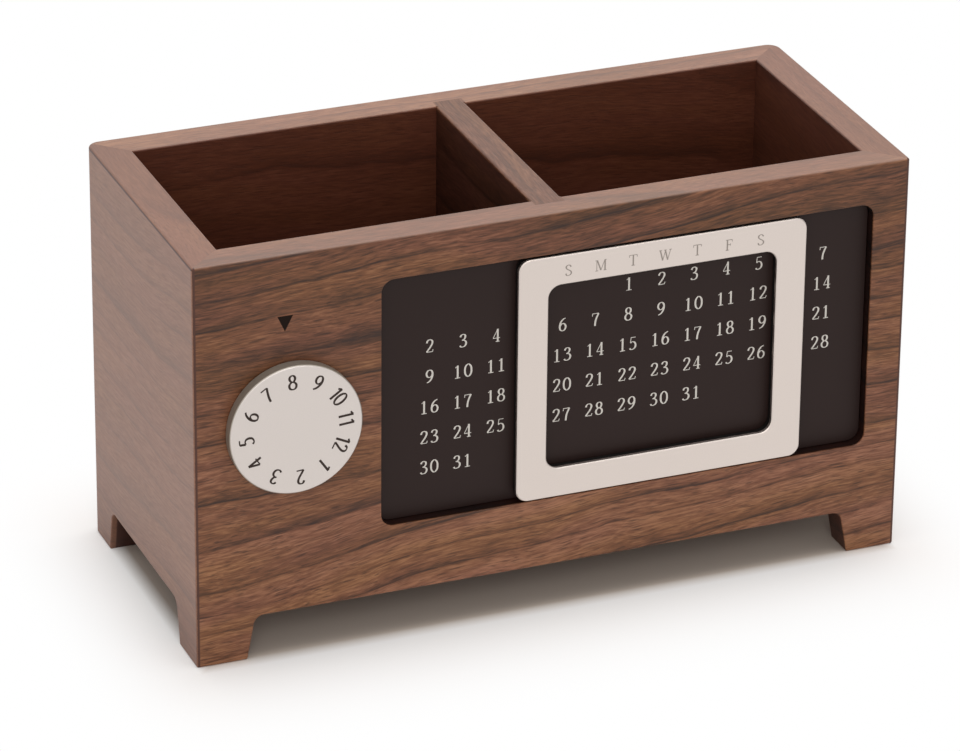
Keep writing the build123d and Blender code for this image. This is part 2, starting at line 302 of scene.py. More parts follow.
        # painted glare over all but the inner face
        layers.insert(1, (["notInside"], board.get("pale", 0), "MIX", walnut["paintedSideGlare"]))
        layers += [
            # painted shade: the outer faces darker towards the floor
            (["foot", "notInside"], 1.0, "MULTIPLY", board.get("footShadeTint", "#ffffff")),
            # painted shade on the rounded back corners, below the rim
            (["cornerAcross", "cornerBack", "belowEdge"], walnut["cornerShadeShare"], "MIX", walnut["edgeLineAndShade"]),
            (["outside", "lineStart", "lineEnd"], 1.0, "MIX", walnut["edgeLineAndShade"]),
            # painted shade on the arches and the recess walls, deepest in the recess
            (["cut", "notInside", "belowRim"], 1.0, "MULTIPLY", walnut["cutTint"]),
            (["cut", "notInside", "belowRim", "aboveArch"], 1.0, "MULTIPLY", walnut["recessShadeTint"]),
            (["inside"], 0.5, "MIX", walnut["midBrown"]),
            # painted shade: the inner face darker and redder
            (["inside"], 1.0, "MULTIPLY", board.get("insideShadeTint", walnut["insideShadeTint"]))]
    else:
        # painted shade: below the rim these boards are darker
        spans["below"] = (height, rimHeight - 0.4, rimHeight - 1.0)
        layers += [(["below"], 1.0, "MULTIPLY", board["belowShadeTint"])]
    masks = {"pore": pore}
    for name, (value, first, last) in spans.items():
        mask = addNode(tree, "ShaderNodeMapRange", {"Value": value, "From Min": first * mm, "From Max": last * mm})
        masks[name] = mask.outputs["Result"]
    for names, share, way, tone in layers:
        for name in names:
            share = addNode(tree, "ShaderNodeMath", {0: masks[name], 1: share}, operation="MULTIPLY")
        color = addNode(tree, "ShaderNodeMix", {
            "Factor": share, 6: color, 7: tone}, data_type="RGBA", blend_type=way).outputs[2]

    # fibres and pores also break up the sheen and lie a little below the surface
    rough = addNode(tree, "ShaderNodeMapRange", {
        "Value": fibre, "To Min": walnut["roughness"][0], "To Max": walnut["roughness"][1]}).outputs["Result"]
    sunk = addNode(tree, "ShaderNodeMath", {0: fibre, 1: walnut["fibreDepth"], 2: pore}, operation="MULTIPLY_ADD")
    bump = addNode(tree, "ShaderNodeBump", {
        "Height": sunk, "Strength": walnut["bump"], "Distance": walnut["poreDepth"] * mm}, invert=True)
    surface = addNode(tree, "ShaderNodeBsdfPrincipled", {
        "Base Color": color, "Roughness": rough, "Normal": bump, "IOR": 1.5, "Specular IOR Level": board["gloss"]})
    addNode(tree, "ShaderNodeOutputMaterial", {"Surface": surface.outputs[0]})
    return material


for boardName, board in boards.items():
    dress(boardName, walnutMaterial(boardName, board))
print("walnut boards dressed")


specks = {"tone": (0.93, 1.04), "roughness": 0.05, "bump": 0.15, "depth": 0.01}  # how much a finish's fine grit shows


def grittedFinish(name, color, metallic, roughness, grit, gloss=0.5, side=None):  # an even finish, its grit in mm
    material, tree = newMaterial(name)
    place = addNode(tree, "ShaderNodeTexCoord").outputs["Object"]
    speck = addNode(tree, "ShaderNodeTexNoise", {"Vector": place, "Scale": 1 / (grit * mm), "Detail": 2})
    speck = speck.outputs["Fac"]
    tone = addNode(tree, "ShaderNodeMapRange", {
        "Value": speck, "To Min": specks["tone"][0], "To Max": specks["tone"][1]}).outputs["Result"]
    if side:  # a disc's side painted darker, a painted reflection of dark surroundings: the disc's middle, from which radius, over how far it blends in, and its colour
        middle = [c * mm for c in side["middle"]]
        fromAxis = addNode(tree, "ShaderNodeVectorMath", {0: place, 1: middle}, operation="SUBTRACT")
        fromAxis = addNode(tree, "ShaderNodeVectorMath", {0: fromAxis, 1: (1, 0, 1)}, operation="MULTIPLY")
        away = addNode(tree, "ShaderNodeVectorMath", {0: fromAxis}, operation="LENGTH").outputs["Value"]
        past = addNode(tree, "ShaderNodeMapRange", {
            "Value": away, "From Min": (side["radius"] - side["blend"]) * mm, "From Max": side["radius"] * mm})
        color = addNode(tree, "ShaderNodeMix", {
            "Factor": past.outputs["Result"], 6: color, 7: side["color"]}, data_type="RGBA").outputs[2]
    else:
        color = linearColor(color)[:3]
    base = addNode(tree, "ShaderNodeVectorMath", {0: color, "Scale": tone}, operation="SCALE")
    rough = addNode(tree, "ShaderNodeMapRange", {
        "Value": speck, "To Min": roughness - specks["roughness"], "To Max": roughness + specks["roughness"]})
    bump = addNode(tree, "ShaderNodeBump", {
        "Height": speck, "Strength": specks["bump"], "Distance": specks["depth"] * mm})
    surface = addNode(tree, "ShaderNodeBsdfPrincipled", {
        "Base Color": base, "Metallic": metallic, "Roughness": rough.outputs["Result"], "Normal": bump,
        "Specular IOR Level": gloss})
    addNode(tree, "ShaderNodeOutputMaterial", {"Surface": surface.outputs[0]})
    return material


def centreOf(nodeName):  # the middle of a CAD node's box, in mm
    low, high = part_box(nodeName)
    return [(a + b) / 2 / mm for a, b in zip(low, high)]


finishes = {
    # aluminium, glass-bead blasted and clear anodised: a pale warm metal that glows evenly and mirrors nothing
    "slider_frame": {
        "name": "blastedAnodisedAluminium", "color": "#ddd1c9", "metallic": 1.0, "roughness": 0.42, "grit": 0.25},
    # turned aluminium, lacquered satin on its face; its side is painted a darker grey, a painted reflection of its
    # darker surroundings
    "month_dial": {
        "name": "satinTurnedAluminium", "color": "#dad1cb", "metallic": 0.7, "roughness": 0.48, "grit": 0.25,
        "side": {"middle": centreOf("month_dial"), "radius": 15.3, "blend": 0.12, "color": "#a0988c"}},
    # sheet steel under matt lacquer: near black with a dull warm sheen
    "date_plate": {
        "name": "mattLacqueredSteel", "color": "#281a17", "metallic": 0.0, "roughness": 0.5, "grit": 0.3, "gloss": 0.2},
    # moulded black ABS with a fine spark texture: a little deeper than the plate
    "slider_carrier": {
        "name": "mouldedBlackAbs", "color": "#120f0e", "metallic": 0.0, "roughness": 0.5, "grit": 0.4, "gloss": 0.3},
    # nickel plate, which shines, on the hidden magnets
    "slider_magnets": {"name": "nickelPlate", "color": "#b4aca0", "metallic": 1.0, "roughness": 0.25, "grit": 0.3},
    # turned brass, golden and bright, in the bore
    "dial_bushing": {"name": "turnedBrass", "color": "#c9a25a", "metallic": 1.0, "roughness": 0.3, "grit": 0.3},
}
for part in ("dial_spindle", "dial_washer", "dial_screw"):  # zinc-plated steel, bluish and satin
    finishes[part] = {
        "name": "zincPlatedSteel_" + part, "color": "#b9bcc0", "metallic": 1.0, "roughness": 0.32, "grit": 0.3}
for nodeName, finish in finishes.items():
    dress(nodeName, grittedFinish(**finish))
print("metal and plate dressed")

# Printed figures and letters. Each glyph is drawn with a pen on a box 1 high: "curve" runs smoothly through its
# points, "loop" is a closed curve, "line" goes straight, and "bar" is a line as thin as the pen's thin strokes.
serifFigures = {
    "0": [("loop", (0.29, 0.97), (0.10, 0.80), (0.05, 0.50), (0.10, 0.20), (0.29, 0.03), (0.48, 0.20), (0.53, 0.50),
           (0.48, 0.80))],
    "1": [("line", (0.31, 0.00), (0.31, 0.97)), ("bar", (0.13, 0.81), (0.31, 0.93)),
          ("bar", (0.12, 0.03), (0.50, 0.03))],
    "2": [("curve", (0.07, 0.74), (0.13, 0.90), (0.28, 0.97), (0.44, 0.90), (0.48, 0.73), (0.38, 0.50), (0.20, 0.25),
           (0.06, 0.07)), ("bar", (0.05, 0.06), (0.50, 0.06)), ("bar", (0.48, 0.05), (0.53, 0.22))],
    "3": [("curve", (0.08, 0.79), (0.15, 0.92), (0.28, 0.97), (0.42, 0.90), (0.44, 0.75), (0.36, 0.60), (0.20, 0.53)),
          ("curve", (0.20, 0.54), (0.38, 0.50), (0.49, 0.38), (0.49, 0.22), (0.40, 0.08), (0.25, 0.03), (0.12, 0.06),
           (0.06, 0.15))],
    "4": [("line", (0.38, 0.00), (0.38, 0.97)), ("bar", (0.37, 0.94), (0.05, 0.32)),
          ("bar", (0.03, 0.29), (0.55, 0.29)), ("bar", (0.24, 0.03), (0.52, 0.03))],
    "5": [("bar", (0.14, 0.94), (0.48, 0.94)), ("bar", (0.15, 0.95), (0.10, 0.55)),
          ("curve", (0.10, 0.54), (0.24, 0.62), (0.41, 0.55), (0.49, 0.36), (0.44, 0.15), (0.27, 0.03), (0.13, 0.05),
           (0.06, 0.13))],
    "6": [("curve", (0.48, 0.96), (0.30, 0.88), (0.14, 0.68), (0.07, 0.42), (0.09, 0.18), (0.18, 0.06), (0.30, 0.03),
           (0.44, 0.11), (0.51, 0.30), (0.45, 0.49), (0.31, 0.58), (0.17, 0.52), (0.09, 0.40))],
    "7": [("bar", (0.05, 0.93), (0.52, 0.93)), ("bar", (0.07, 0.95), (0.05, 0.74)),
          ("curve", (0.51, 0.93), (0.37, 0.62), (0.28, 0.33), (0.25, 0.00))],
    "8": [("loop", (0.29, 0.97), (0.15, 0.90), (0.11, 0.75), (0.17, 0.60), (0.29, 0.53), (0.41, 0.60), (0.47, 0.75),
           (0.43, 0.90)),
          ("loop", (0.29, 0.54), (0.12, 0.44), (0.06, 0.28), (0.12, 0.10), (0.29, 0.03), (0.46, 0.10), (0.52, 0.28),
           (0.46, 0.44))],
    "9": [("curve", (0.10, 0.04), (0.28, 0.12), (0.44, 0.32), (0.51, 0.58), (0.49, 0.82), (0.40, 0.94), (0.28, 0.97),
           (0.14, 0.89), (0.07, 0.70), (0.13, 0.51), (0.27, 0.42), (0.41, 0.48), (0.49, 0.60))],
}
serifInitials = {
    "S": [("curve", (0.43, 0.78), (0.37, 0.92), (0.25, 0.97), (0.12, 0.90), (0.08, 0.76), (0.16, 0.61), (0.34, 0.47),
           (0.45, 0.33), (0.44, 0.17), (0.34, 0.06), (0.22, 0.03), (0.11, 0.08), (0.06, 0.23))],
    "M": [("bar", (0.12, 0.00), (0.12, 0.97)), ("line", (0.15, 0.97), (0.42, 0.06)),
          ("bar", (0.42, 0.06), (0.70, 0.95)), ("line", (0.72, 0.00), (0.72, 0.97)),
          ("bar", (0.02, 0.03), (0.22, 0.03)), ("bar", (0.62, 0.03), (0.83, 0.03)),
          ("bar", (0.02, 0.95), (0.20, 0.95)), ("bar", (0.68, 0.95), (0.83, 0.95))],
    "T": [("line", (0.32, 0.00), (0.32, 0.97)), ("bar", (0.04, 0.95), (0.60, 0.95)),
          ("bar", (0.05, 0.96), (0.03, 0.76)), ("bar", (0.59, 0.96), (0.61, 0.76)),
          ("bar", (0.20, 0.03), (0.44, 0.03))],
    "W": [("line", (0.08, 0.97), (0.27, 0.04)), ("bar", (0.27, 0.04), (0.46, 0.90)),
          ("line", (0.44, 0.97), (0.63, 0.04)), ("bar", (0.63, 0.04), (0.83, 0.95)),
          ("bar", (0.00, 0.95), (0.20, 0.95)), ("bar", (0.36, 0.95), (0.54, 0.95)),
          ("bar", (0.74, 0.95), (0.92, 0.95))],
    "F": [("line", (0.17, 0.00), (0.17, 0.97)), ("bar", (0.06, 0.95), (0.52, 0.95)),
          ("bar", (0.51, 0.96), (0.53, 0.76)), ("bar", (0.17, 0.52), (0.40, 0.52)),
          ("bar", (0.39, 0.62), (0.39, 0.42)), ("bar", (0.06, 0.03), (0.30, 0.03))],
}
dialFigures = {
    "0": [("loop", (0.27, 0.97), (0.10, 0.82), (0.04, 0.50), (0.10, 0.18), (0.27, 0.03), (0.44, 0.18), (0.50, 0.50),
           (0.44, 0.82))],
    "1": [("line", (0.30, 0.00), (0.30, 0.97)), ("line", (0.30, 0.95), (0.10, 0.80))],
    "2": [("curve", (0.07, 0.78), (0.14, 0.92), (0.27, 0.97), (0.42, 0.90), (0.45, 0.72), (0.34, 0.48), (0.18, 0.25),
           (0.05, 0.05)), ("line", (0.04, 0.05), (0.50, 0.05))],
    "3": [("curve", (0.08, 0.84), (0.16, 0.94), (0.27, 0.97), (0.41, 0.90), (0.43, 0.74), (0.34, 0.58), (0.18, 0.53)),
          ("curve", (0.18, 0.53), (0.36, 0.50), (0.47, 0.38), (0.47, 0.22), (0.38, 0.08), (0.24, 0.03), (0.12, 0.06),
           (0.04, 0.15))],
    "4": [("line", (0.38, 0.00), (0.38, 0.95)), ("line", (0.38, 0.95), (0.03, 0.30)),
          ("line", (0.03, 0.30), (0.54, 0.30))],
    "5": [("line", (0.44, 0.95), (0.13, 0.95)), ("line", (0.13, 0.95), (0.10, 0.56)),
          ("curve", (0.10, 0.55), (0.25, 0.60), (0.41, 0.52), (0.47, 0.34), (0.42, 0.13), (0.25, 0.03), (0.12, 0.05),
           (0.04, 0.12))],
    "6": [("curve", (0.42, 0.96), (0.26, 0.85), (0.12, 0.64), (0.05, 0.40), (0.08, 0.17), (0.17, 0.05), (0.28, 0.03),
           (0.42, 0.11), (0.48, 0.30), (0.42, 0.48), (0.29, 0.56), (0.15, 0.50), (0.06, 0.38))],
    "7": [("line", (0.04, 0.94), (0.50, 0.94)), ("curve", (0.50, 0.94), (0.36, 0.62), (0.24, 0.30), (0.18, 0.00))],
    "8": [("loop", (0.27, 0.97), (0.13, 0.90), (0.09, 0.75), (0.15, 0.60), (0.27, 0.53), (0.39, 0.60), (0.45, 0.75),
           (0.41, 0.90)),
          ("loop", (0.27, 0.53), (0.10, 0.44), (0.04, 0.28), (0.10, 0.10), (0.27, 0.03), (0.44, 0.10), (0.50, 0.28),
           (0.44, 0.44))],
    "9": [("curve", (0.12, 0.04), (0.28, 0.15), (0.42, 0.36), (0.49, 0.60), (0.46, 0.83), (0.37, 0.95), (0.26, 0.97),
           (0.12, 0.89), (0.06, 0.70), (0.12, 0.52), (0.25, 0.44), (0.39, 0.50), (0.48, 0.62))],
}

curveSteps = 3  # straight pieces between two points of a curve
penContrast = 1.3  # how fast a stroke thins as it leans away from upright


def smoothPath(points, closed):  # Catmull-Rom through the points
    points = [Vector(p) for p in points]
    count = len(points)

    def at(i):
        return points[i % count] if closed else points[min(max(i, 0), count - 1)]

    path = []
    for i in range(count if closed else count - 1):
        p0, p1, p2, p3 = at(i - 1), at(i), at(i + 1), at(i + 2)
        for k in range(curveSteps):
            t = k / curveSteps
            squared, cubed = 2 * p0 - 5 * p1 + 4 * p2 - p3, 3 * p1 - p0 - 3 * p2 + p3
            path.append(0.5 * (2 * p1 + (p2 - p0) * t + squared * t * t + cubed * t ** 3))
    return path if closed else path + [points[-1]]


def strokePrism(mesh, kind, points, pen, depth):  # one pen stroke as a closed prism
    closed = kind == "loop"
    path = [Vector(p) for p in points] if kind in ("line", "bar") else smoothPath(points, closed)
    thin, thick = pen
    rows = []
    for i, point in enumerate(path):
        before = path[i - 1] if closed or i else point
        after = path[(i + 1) % len(path)] if closed or i < len(path) - 1 else point
        heading = (after - before).normalized()
        width = thin if kind == "bar" else thin + (thick - thin) * abs(heading.y) ** penContrast
        side = Vector((-heading.y, heading.x)) * width / 2
        corners = ((1, 0), (-1, 0), (-1, depth), (1, depth))
        rows.append([mesh.verts.new((*(point + side * edge), z)) for edge, z in corners])
    pairs = list(zip(rows, rows[1:])) + ([(rows[-1], rows[0])] if closed else [])
    for a, b in pairs:
        for j in range(4):
            mesh.faces.new((a[j], a[(j + 1) % 4], b[(j + 1) % 4], b[j]))
    if not closed:
        mesh.faces.new(reversed(rows[0]))
        mesh.faces.new(rows[-1])


def newTree(name, inputs):  # a Geometry Nodes tree with named inputs, and where its nodes find them
    tree = bpy.data.node_groups.new(name, "GeometryNodeTree")
    tree.interface.new_socket("Geometry", in_out="OUTPUT", socket_type="NodeSocketGeometry")
    tree.interface.new_socket("Geometry", in_out="INPUT", socket_type="NodeSocketGeometry")
    for label, kind in inputs:
        tree.interface.new_socket(label, in_out="INPUT", socket_type="NodeSocket" + kind)
    return tree, addNode(tree, "NodeGroupInput").outputs


def grown(name, mesh, tree, values):  # runs a tree on a mesh and keeps the result as a plain mesh
    source = bpy.data.objects.new(name + "_source", mesh)
    bpy.context.scene.collection.objects.link(source)
    modifier = source.modifiers.new("nodes", "NODES")
    modifier.node_group = tree
    for item in tree.interface.items_tree:
        if item.in_out == "INPUT" and item.name in values:
            modifier[item.identifier] = values[item.name]
    bpy.context.view_layer.update()
    result = bpy.data.meshes.new_from_object(source.evaluated_get(bpy.context.evaluated_depsgraph_get()))
    result.name = name
    bpy.data.objects.remove(source)
    return result


unionTree, given = newTree("joinedStrokes", [])
union = addNode(unionTree, "GeometryNodeMeshBoolean", {
    "Mesh 2": given["Geometry"], "Self Intersection": True}, operation="UNION", solver="EXACT")
addNode(unionTree, "NodeGroupOutput", {0: union.outputs["Mesh"]})


def glyphSet(name, glyphs, pen, depth, widen=1.0):  # a collection of glyphs, each centred on its own box's middle
    collection = bpy.data.collections.new(name)
    for i, (letter, strokes) in enumerate(glyphs.items()):
        raw = bmesh.new()
        for kind, *points in strokes:
            strokePrism(raw, kind, [(x * widen, y) for x, y in points], pen, depth)
        bmesh.ops.recalc_face_normals(raw, faces=raw.faces)
        xs = [v.co.x for v in raw.verts]
        bmesh.ops.translate(raw, verts=raw.verts, vec=(-(min(xs) + max(xs)) / 2, -0.5, 0))
        mesh = bpy.data.meshes.new(name)
        raw.to_mesh(mesh)
        raw.free()
        glyph = bpy.data.objects.new(f"{name}_{i:02d}", grown(f"{name}_{i:02d}", mesh, unionTree, {}))
        collection.objects.link(glyph)
    return collection


def printTree(name, layoutInputs):  # what every print's tree takes in, and then its own
    shared = [("Glyphs", "Collection"), ("Ink", "Material"), ("Glyph Height", "Float"), ("Advance", "Float")]
    return newTree(name, shared + layoutInputs)


def figurePairs(tree, given, points, value, turn):  # writes a number of one or two figures at every point
    glyphs = addNode(tree, "GeometryNodeCollectionInfo", {
        "Collection": given["Glyphs"], "Separate Children": True, "Reset Children": True})
    tens = addNode(tree, "ShaderNodeMath", {0: value, 1: 10}, operation="DIVIDE")
    tens = addNode(tree, "ShaderNodeMath", {0: tens}, operation="FLOOR")
    ones = addNode(tree, "ShaderNodeMath", {0: tens, 1: -10, 2: value}, operation="MULTIPLY_ADD")
    paired = addNode(tree, "ShaderNodeMath", {0: tens, 1: 1}, operation="MINIMUM")
    spread = addNode(tree, "ShaderNodeMath", {0: given["Advance"], 1: paired}, operation="MULTIPLY")
    joined = addNode(tree, "GeometryNodeJoinGeometry")
    for figure, halfStep, chosen in ((ones, 0.5, True), (tens, -0.5, paired)):
        step = addNode(tree, "ShaderNodeMath", {0: spread, 1: halfStep}, operation="MULTIPLY")
        step = addNode(tree, "ShaderNodeCombineXYZ", {0: step})
        step = addNode(tree, "ShaderNodeVectorRotate", {"Vector": step, "Rotation": turn}, rotation_type="EULER_XYZ")
        moved = addNode(tree, "GeometryNodeSetPosition", {"Geometry": points, "Offset": step})
        placed = addNode(tree, "GeometryNodeInstanceOnPoints", {
            "Points": moved, "Selection": chosen, "Instance": glyphs, "Pick Instance": True,
            "Instance Index": figure, "Rotation": turn, "Scale": given["Glyph Height"]})
        tree.links.new(placed.outputs[0], joined.inputs[0])
    inkedOutput(tree, given, joined)


def inkedOutput(tree, given, instances):  # how each print's tree ends
    real = addNode(tree, "GeometryNodeRealizeInstances", {0: instances})
    inked = addNode(tree, "GeometryNodeSetMaterial", {"Geometry": real, "Material": given["Ink"]})
    addNode(tree, "NodeGroupOutput", {0: inked})


def onFront(mesh, x, y, z):  # stands a print that was laid out flat up against a front face
    mesh.transform(Matrix.Translation((x * mm, y * mm, z * mm)) @ Matrix.Rotation(pi / 2, 4, "X") @ Matrix.Scale(mm, 4))


def placePiece(name, mesh, body):
    piece = bpy.data.objects.new(name, mesh)
    bpy.context.scene.collection.objects.link(piece)
    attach(piece, body)


inkLift = 0.02  # mm, how far the ink stands out

# the dates on the plate: seven to a week, over thirteen columns, so that the frame can start a month on any day; sizes
# are in mm, and a pen's two strokes are parts of a figure's height
daysInWeek = 7
dates = {
    "columns": 13,
    "rows": 6,
    "columnPitch": 7.9,
    "rowPitch": 7.4,
    "firstValue": -5,
    "figureHeight": 3.25,
    "advance": 2.5,
    "pen": (0.05, 0.13),
    "ink": "#cfcac2",
    "shift": (0.7, 0.1),  # of the grid's middle from the plate's
}
tree, given = printTree("dateGrid", [
    ("Width", "Float"), ("Height", "Float"), ("Columns", "Int"), ("Rows", "Int"), ("First Value", "Int")])
grid = addNode(tree, "GeometryNodeMeshGrid", {
    "Size X": given["Width"], "Size Y": given["Height"], "Vertices X": given["Columns"], "Vertices Y": given["Rows"]})
# the grid counts its points up each column, from the left
index = addNode(tree, "GeometryNodeInputIndex")
column = addNode(tree, "ShaderNodeMath", {0: index, 1: given["Rows"]}, operation="DIVIDE")
column = addNode(tree, "ShaderNodeMath", {0: column}, operation="FLOOR")
fromBelow = addNode(tree, "ShaderNodeMath", {0: index, 1: given["Rows"]}, operation="MODULO")
rowCount = addNode(tree, "ShaderNodeMath", {0: given["Rows"], 1: fromBelow}, operation="SUBTRACT")
value = addNode(tree, "ShaderNodeMath", {0: rowCount, 1: daysInWeek, 2: column}, operation="MULTIPLY_ADD")
value = addNode(tree, "ShaderNodeMath", {0: value, 1: given["First Value"]}, operation="ADD")
value = addNode(tree, "ShaderNodeMath", {0: value, 1: daysInWeek}, operation="SUBTRACT")
# every number is kept on its point before those that no month has are taken away
kept = addNode(tree, "GeometryNodeStoreNamedAttribute", {
    "Geometry": grid, "Name": "date", "Value": value}, data_type="FLOAT", domain="POINT")
date = addNode(tree, "GeometryNodeInputNamedAttribute", {"Name": "date"}, data_type="FLOAT")
for limit, way in ((0.5, "LESS_THAN"), (31.5, "GREATER_THAN")):
    outside = addNode(tree, "ShaderNodeMath", {0: date, 1: limit}, operation=way)
    kept = addNode(tree, "GeometryNodeDeleteGeometry", {"Geometry": kept, "Selection": outside}, domain="POINT")
upright = addNode(tree, "ShaderNodeCombineXYZ")
figurePairs(tree, given, kept, date, upright)
# pad-printed ink, off-white and matt
dateInk = grittedFinish("padPrintedWhiteInk", dates["ink"], metallic=0.0, roughness=0.55, grit=0.2)
dateGlyphs = glyphSet("serifFigures", serifFigures, dates["pen"], inkLift / dates["figureHeight"])
mesh = grown("printed_dates", bpy.data.meshes.new("empty"), tree, {
    "Glyphs": dateGlyphs, "Ink": dateInk, "Glyph Height": dates["figureHeight"], "Advance": dates["advance"],
    "Width": dates["columnPitch"] * (dates["columns"] - 1), "Height": dates["rowPitch"] * (dates["rows"] - 1),
    "Columns": dates["columns"], "Rows": dates["rows"], "First Value": dates["firstValue"]})
plateCentre = centreOf("date_plate")
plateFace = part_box("date_plate")[0][1] / mm
onFront(mesh, plateCentre[0] + dates["shift"][0], plateFace, plateCentre[2] + dates["shift"][1])
placePiece("printed_dates", mesh, "case")

# the twelve months round the dial, their tops outwards
monthCount = 12
months = {
    "radius": 11.6,
    "figureHeight": 3.6,
    "advance": 1.95,
    "startAngle": 4.4,  # degrees, how far the top value stands left of the top
    "topValue": 8,
    "pen": (0.085, 0.15),
    "ink": "#2e1f17",
}
tree, given = printTree("monthRing", [("Radius", "Float"), ("Start Angle", "Float"), ("Top Value", "Int")])
ringPoints = addNode(tree, "GeometryNodeMeshLine", {"Count": monthCount, "Offset": (0, 0, 0)}, mode="OFFSET")
index = addNode(tree, "GeometryNodeInputIndex")
angle = addNode(tree, "ShaderNodeMath", {
    0: index, 1: -2 * pi / monthCount, 2: given["Start Angle"]}, operation="MULTIPLY_ADD")
month = addNode(tree, "ShaderNodeMath", {0: given["Top Value"], 1: index}, operation="ADD")
month = addNode(tree, "ShaderNodeMath", {0: month, 1: 1}, operation="SUBTRACT")
month = addNode(tree, "ShaderNodeMath", {0: month, 1: monthCount}, operation="MODULO")
month = addNode(tree, "ShaderNodeMath", {0: month, 1: 1}, operation="ADD")
aim = addNode(tree, "ShaderNodeCombineXYZ", {2: angle})
reach = addNode(tree, "ShaderNodeCombineXYZ", {1: given["Radius"]})
reach = addNode(tree, "ShaderNodeVectorRotate", {"Vector": reach, "Rotation": aim}, rotation_type="EULER_XYZ")
ringPoints = addNode(tree, "GeometryNodeSetPosition", {"Geometry": ringPoints, "Offset": reach})
figurePairs(tree, given, ringPoints, month, aim)
# figures etched and filled with dark lacquer, a soft brown black
monthInk = grittedFinish("etchedDarkFigures", months["ink"], metallic=0.0, roughness=0.5, grit=0.2, gloss=0.3)
monthGlyphs = glyphSet("dialFigures", dialFigures, months["pen"], inkLift / months["figureHeight"])
mesh = grown("printed_months", bpy.data.meshes.new("empty"), tree, {
    "Glyphs": monthGlyphs, "Ink": monthInk, "Glyph Height": months["figureHeight"], "Advance": months["advance"],
    "Radius": months["radius"], "Start Angle": radians(months["startAngle"]), "Top Value": months["topValue"]})
dialCentre = centreOf("month_dial")
onFront(mesh, dialCentre[0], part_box("month_dial")[0][1] / mm, dialCentre[2])
placePiece("printed_months", mesh, "dial")

# the weekdays' initials along the frame's top bar
initials = {
    "order": "SMTWTFS",
    "pitch": 7.73,
    "height": 2.7,
    "z": 82.7,
    "shift": 0.2,  # of the row's middle from the frame's
    "pen": (0.055, 0.12),
    "widen": 1.22,
    "ink": "#91877f",
}
tree, given = printTree("initialRow", [("Pitch", "Float")])
step = addNode(tree, "ShaderNodeCombineXYZ", {0: given["Pitch"]})
row = addNode(tree, "GeometryNodeMeshLine", {"Count": len(initials["order"]), "Offset": step}, mode="OFFSET")
index = addNode(tree, "GeometryNodeInputIndex")
glyphs = addNode(tree, "GeometryNodeCollectionInfo", {
    "Collection": given["Glyphs"], "Separate Children": True, "Reset Children": True})
placed = addNode(tree, "GeometryNodeInstanceOnPoints", {
    "Points": row, "Instance": glyphs, "Pick Instance": True, "Instance Index": index, "Scale": given["Glyph Height"]})
inkedOutput(tree, given, placed)
# letters marked by laser, a matt grey against the pale metal
initialInk = grittedFinish("laserGreyLetters", initials["ink"], metallic=0.0, roughness=0.55, grit=0.2)
week = {f"{i}{letter}": serifInitials[letter] for i, letter in enumerate(initials["order"])}
letters = glyphSet("serifInitials", week, initials["pen"], inkLift / initials["height"], initials["widen"])
mesh = grown("printed_initials", bpy.data.meshes.new("empty"), tree, {
    "Glyphs": letters, "Ink": initialInk, "Glyph Height": initials["height"], "Pitch": initials["pitch"]})
frameCentre = centreOf("slider_frame")
firstX = frameCentre[0] + initials["shift"] - initials["pitch"] * (len(initials["order"]) - 1) / 2
onFront(mesh, firstX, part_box("slider_frame")[0][1] / mm, initials["z"])
placePiece("printed_initials", mesh, "date_slider")

# the pointer that marks the month, above the dial
pointer = {"left": -65.6, "right": -62.0, "top": 82.5, "tip": (-63.9, 78.8), "ink": "#1c110b"}
shape = bmesh.new()
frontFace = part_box("front_panel")[0][1] / mm
corners = [(pointer["left"], pointer["top"]), pointer["tip"], (pointer["right"], pointer["top"])]
back = [shape.verts.new((x * mm, frontFace * mm, z * mm)) for x, z in corners]
front = [shape.verts.new((x * mm, (frontFace - inkLift) * mm, z * mm)) for x, z in corners]
shape.faces.new(front)
shape.faces.new(reversed(back))
for i in range(3):
    shape.faces.new((back[i], back[(i + 1) % 3], front[(i + 1) % 3], front[i]))
bmesh.ops.recalc_face_normals(shape, faces=shape.faces)
mesh = bpy.data.meshes.new("printed_pointer")
shape.to_mesh(mesh)
shape.free()
# a mark burnt and inked into the wood, dark brown and matt
pointerInk = grittedFinish("burntDarkMark", pointer["ink"], metallic=0.0, roughness=0.7, grit=0.2, gloss=0.1)
mesh.materials.append(pointerInk)
placePiece("printed_pointer", mesh, "case")
print("dates, months, initials and pointer printed")

# a pale floor and a white room, in metres; the lamps are at a level where a colour renders about as it is written
stage = {
    "floorColor": "#f0ece9",
    "floorReach": 4.0,
    "floorDrop": 0.00002,  # keeps the floor clear of the feet
    "shadowReach": (-0.022, 0.042),  # from the object's footprint, where its shadow starts and ends to fade
    "sideways": 1.5,  # how much sooner it ends to the left and right
    "contactShadowTint": "#d2c4b7",  # painted shadow: the floor right under the object, darker and warmer
    "contactEdge": 0.004,
    "worldLight": 0.48,
    "topSoftbox": ((0.06, 0.1, 1.2), 12.0),  # each softbox: its place, and its power in watts
    "frontSoftbox": ((-0.45, -1.4, 0.8), 5.5),
    "boxSize": 0.9,
    "boxAim": (0, 0, 0.05),
}

floorMesh = bpy.data.meshes.new("floor")
r = stage["floorReach"]
floorMesh.from_pydata([(-r, -r, 0), (r, -r, 0), (r, r, 0), (-r, r, 0)], [], [(0, 1, 2, 3)])
floor = bpy.data.objects.new("floor", floorMesh)
bpy.context.scene.collection.objects.link(floor)
floor.location = (0, 0, -stage["floorDrop"])
material, tree = newMaterial("paleFloor")
place = addNode(tree, "ShaderNodeTexCoord").outputs["Object"]
